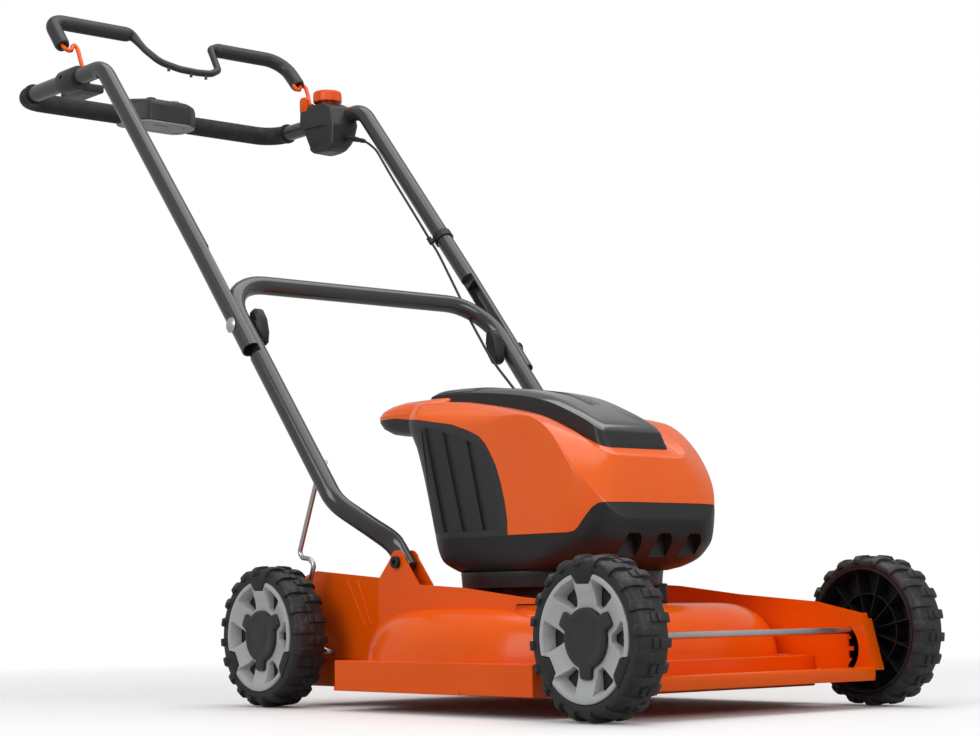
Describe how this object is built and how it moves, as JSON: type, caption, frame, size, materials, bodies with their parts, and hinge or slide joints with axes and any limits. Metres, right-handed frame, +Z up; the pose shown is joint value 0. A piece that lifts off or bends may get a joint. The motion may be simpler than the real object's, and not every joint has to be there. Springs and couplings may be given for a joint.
{
  "type": "cordless lawn mower",
  "caption": "Walk-behind battery lawn mower: pressed orange deck with blade, hooded motor and battery bay, folding tube handle with safety bail, wheels with lever-set cutting height.",
  "frame": {"origin": "on the ground, under the middle of the mower's whole length and width", "axes": "+Z up, +Y to the rear where the operator walks, +X to the mower's own left side, where the control box is"},
  "size_m": [0.5126, 1.4082, 1.0495],
  "materials": {
    "orange_paint": "semi-gloss powder coat",
    "orange_plastic": "glossy moulded",
    "gloss_black": "polished",
    "dark_plastic": "fine satin texture",
    "black_plastic": "matt",
    "rim_plastic": "satin",
    "grey_plastic": "satin",
    "tyre_rubber": "matt",
    "grip_foam": "matt foam",
    "tube_paint": "semi-gloss powder coat",
    "zinc_steel": "zinc plated",
    "bright_bolt": "bright plated",
    "cast_alloy": "as cast",
    "orange_button": "satin"
  },
  "bodies": {
    "body": {"deck": "orange_paint", "right_side_plate": "orange_paint", "left_side_plate": "orange_paint", "right_rear_plate": "orange_paint", "left_rear_plate": "orange_paint", "rear_wall": "orange_paint", "motor": "cast_alloy", "motor_mount": "black_plastic", "motor_skirt": "black_plastic", "hood_base": "black_plastic", "rear_housing": "dark_plastic", "hood_shell": "orange_plastic", "battery": "dark_plastic", "motor_controller": "cast_alloy", "right_ear_bolt": "black_plastic", "left_ear_bolt": "black_plastic", "cable": "black_plastic"},
    "blade_drive": {"blade_spindle": "cast_alloy", "blade": "zinc_steel", "blade_bolt": "zinc_steel"},
    "front_axle": {"front_axle": "zinc_steel"},
    "rear_axle": {"rear_axle": "zinc_steel", "height_lever": "zinc_steel"},
    "right_front_wheel": {"right_front_tyre": "tyre_rubber", "right_front_core": "black_plastic", "right_front_rim": "rim_plastic", "right_front_cap": "dark_plastic"},
    "left_front_wheel": {"left_front_tyre": "tyre_rubber", "left_front_core": "black_plastic", "left_front_rim": "rim_plastic", "left_front_cap": "dark_plastic"},
    "right_rear_wheel": {"right_rear_tyre": "tyre_rubber", "right_rear_core": "black_plastic", "right_rear_rim": "rim_plastic", "right_rear_cap": "dark_plastic"},
    "left_rear_wheel": {"left_rear_tyre": "tyre_rubber", "left_rear_core": "black_plastic", "left_rear_rim": "rim_plastic", "left_rear_cap": "dark_plastic"},
    "lower_handle": {"lower_handle": "tube_paint"},
    "upper_handle": {"upper_handle": "tube_paint", "right_fold_bolt": "bright_bolt", "left_fold_bolt": "bright_bolt", "right_grip": "grip_foam", "left_grip": "grip_foam", "bail_bearing": "dark_plastic", "control_box": "dark_plastic", "rod_guide": "orange_button", "panel_shell": "dark_plastic", "panel_base": "grey_plastic", "cable_clip": "black_plastic"},
    "right_wing_knob": {"right_wing_knob": "black_plastic"},
    "left_wing_knob": {"left_wing_knob": "black_plastic"},
    "bail": {"bail_bar": "dark_plastic", "left_bail_rod": "orange_button", "right_bail_rod": "orange_button"},
    "start_button": {"start_button": "orange_button"},
    "start_key": {"start_key": "black_plastic"},
    "economy_key": {"economy_key": "grey_plastic"},
    "battery_lid": {"battery_lid": "gloss_black"}
  },
  "joints": [
    {"name": "blade_spin", "type": "hinge", "parent": "body", "child": "blade_drive", "pos_m": [0, -0.31787, 0.05], "axis": [0, 0, 1], "continuous": true},
    {"name": "front_height", "type": "hinge", "parent": "body", "child": "front_axle", "pos_m": [0, -0.59387, 0.069], "axis": [1, 0, 0], "range_deg": [0, 92.7]},
    {"name": "rear_height", "type": "hinge", "parent": "body", "child": "rear_axle", "pos_m": [0, -0.0379, 0.069], "axis": [1, 0, 0], "range_deg": [-55.3, 0]},
    {"name": "right_front_roll", "type": "hinge", "parent": "front_axle", "child": "right_front_wheel", "pos_m": [-0.22615, -0.61387, 0.09], "axis": [1, 0, 0], "continuous": true},
    {"name": "left_front_roll", "type": "hinge", "parent": "front_axle", "child": "left_front_wheel", "pos_m": [0.22615, -0.61387, 0.09], "axis": [1, 0, 0], "continuous": true},
    {"name": "right_rear_roll", "type": "hinge", "parent": "rear_axle", "child": "right_rear_wheel", "pos_m": [-0.22615, 0.00213, 0.09], "axis": [1, 0, 0], "continuous": true},
    {"name": "left_rear_roll", "type": "hinge", "parent": "rear_axle", "child": "left_rear_wheel", "pos_m": [0.22615, 0.00213, 0.09], "axis": [1, 0, 0], "continuous": true},
    {"name": "lower_fold", "type": "hinge", "parent": "body", "child": "lower_handle", "pos_m": [0, -0.20287, 0.18], "axis": [1, 0, 0], "range_deg": [0, 126]},
    {"name": "upper_fold", "type": "hinge", "parent": "lower_handle", "child": "upper_handle", "pos_m": [0, 0.06307, 0.49807], "axis": [1, 0, 0], "range_deg": [-74, 24]},
    {"name": "right_knob_turn", "type": "hinge", "parent": "upper_handle", "child": "right_wing_knob", "pos_m": [-0.207, 0.06307, 0.49807], "axis": [1, 0, 0], "continuous": true},
    {"name": "left_knob_turn", "type": "hinge", "parent": "upper_handle", "child": "left_wing_knob", "pos_m": [0.207, 0.06307, 0.49807], "axis": [1, 0, 0], "continuous": true},
    {"name": "bail_pull", "type": "hinge", "parent": "upper_handle", "child": "bail", "pos_m": [0, 0.54113, 0.94], "axis": [1, 0, 0], "range_deg": [-46, 0], "stiffness_Nm_per_rad": 1, "springref_deg": 34.38},
    {"name": "start_push", "type": "slide", "parent": "upper_handle", "child": "start_button", "axis": [0, 0, -1], "range_m": [0, 0.004], "stiffness_N_per_m": 500, "springref_m": -0.002},
    {"name": "start_key_push", "type": "slide", "parent": "upper_handle", "child": "start_key", "axis": [0, 0, -1], "range_m": [0, 0.0012], "stiffness_N_per_m": 900, "springref_m": -0.0006},
    {"name": "economy_key_push", "type": "slide", "parent": "upper_handle", "child": "economy_key", "axis": [0, 0, -1], "range_m": [0, 0.0012], "stiffness_N_per_m": 900, "springref_m": -0.0006},
    {"name": "lid_open", "type": "hinge", "parent": "body", "child": "battery_lid", "pos_m": [0, -0.10537, 0.392], "axis": [1, 0, 0], "range_deg": [-80, 0]}
  ]
}
